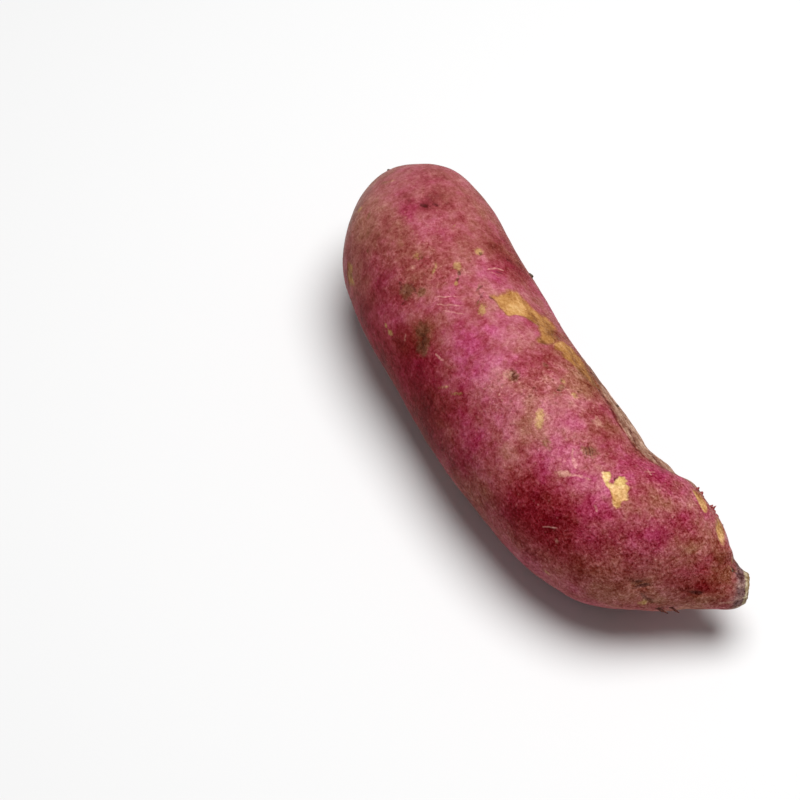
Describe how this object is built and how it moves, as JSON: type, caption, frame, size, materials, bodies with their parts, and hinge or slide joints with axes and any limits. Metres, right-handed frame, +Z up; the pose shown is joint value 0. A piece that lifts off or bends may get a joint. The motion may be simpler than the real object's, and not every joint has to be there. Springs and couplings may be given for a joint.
{
  "type": "sweet potato",
  "caption": "Red-skinned sweet potato: a plump, slightly curved storage root with a blunt far end, shallow eyes, and a shoulder that narrows to the cut vine stalk.",
  "frame": {"origin": "middle of the underside of its box, on the surface that it lies on", "axes": "+X along the root towards its cut stalk end, +Y to the side that the stalk end bends to, +Z up"},
  "size_m": [0.1922, 0.0612, 0.0553],
  "materials": {
    "skin": "matt, slightly waxy wine-pink root skin"
  },
  "bodies": {
    "root": {"tuber": "skin"}
  },
  "joints": []
}
